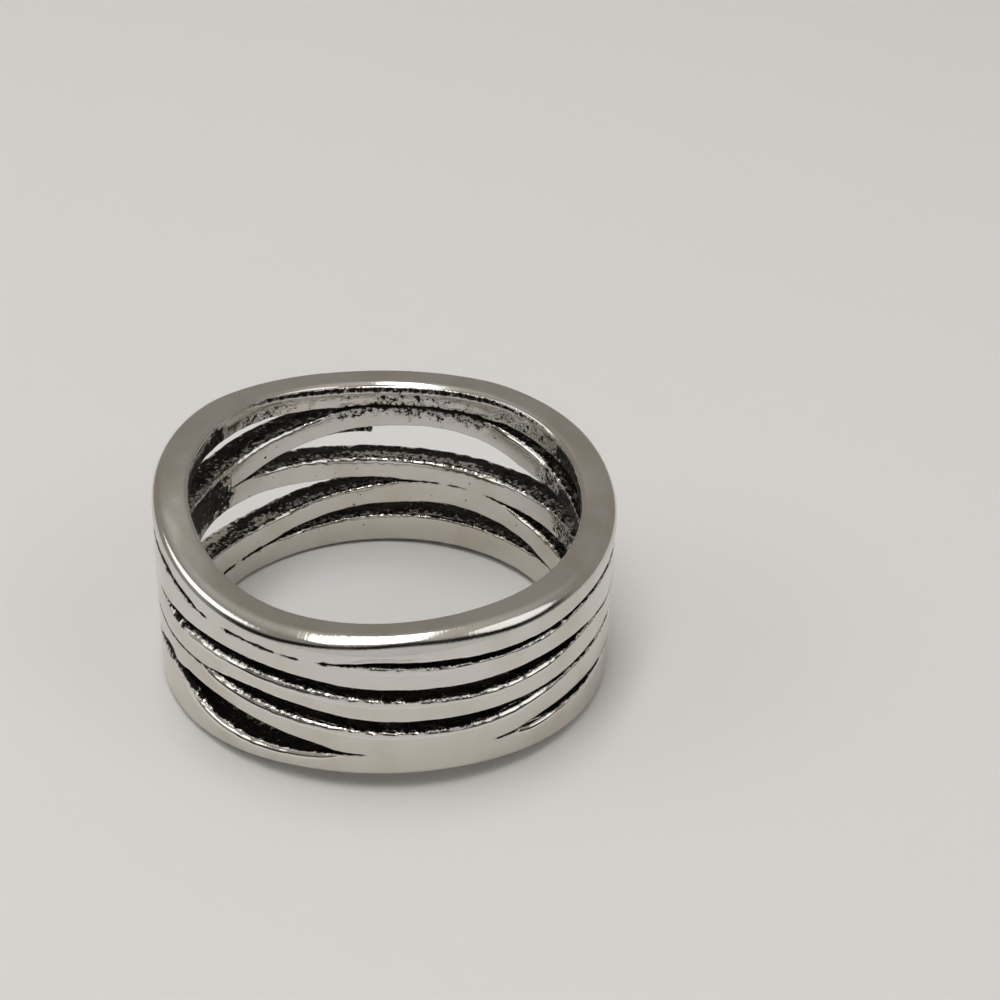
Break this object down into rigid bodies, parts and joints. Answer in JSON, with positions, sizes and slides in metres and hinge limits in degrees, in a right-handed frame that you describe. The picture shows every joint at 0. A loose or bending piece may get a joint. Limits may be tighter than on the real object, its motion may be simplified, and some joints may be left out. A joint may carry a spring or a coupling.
{
  "type": "multi-layer ring",
  "caption": "Finger ring cast in one piece: stacked wavy strands that part and join, polished outside with dark oxidised slots.",
  "frame": {"origin": "on the finger's axis, at the surface the ring rests on when it lies on its side", "axes": "+Z along the finger, from the foot to the upper rim; -Y towards the lowest part of the rim, the front of the picture; +X to the right seen from there"},
  "size_m": [0.0214, 0.0214, 0.0101],
  "materials": {
    "oxidised_silver": "polished silver strands, black oxide left in the slots and pits"
  },
  "bodies": {
    "root": {"ring_band": "oxidised_silver"}
  },
  "joints": []
}
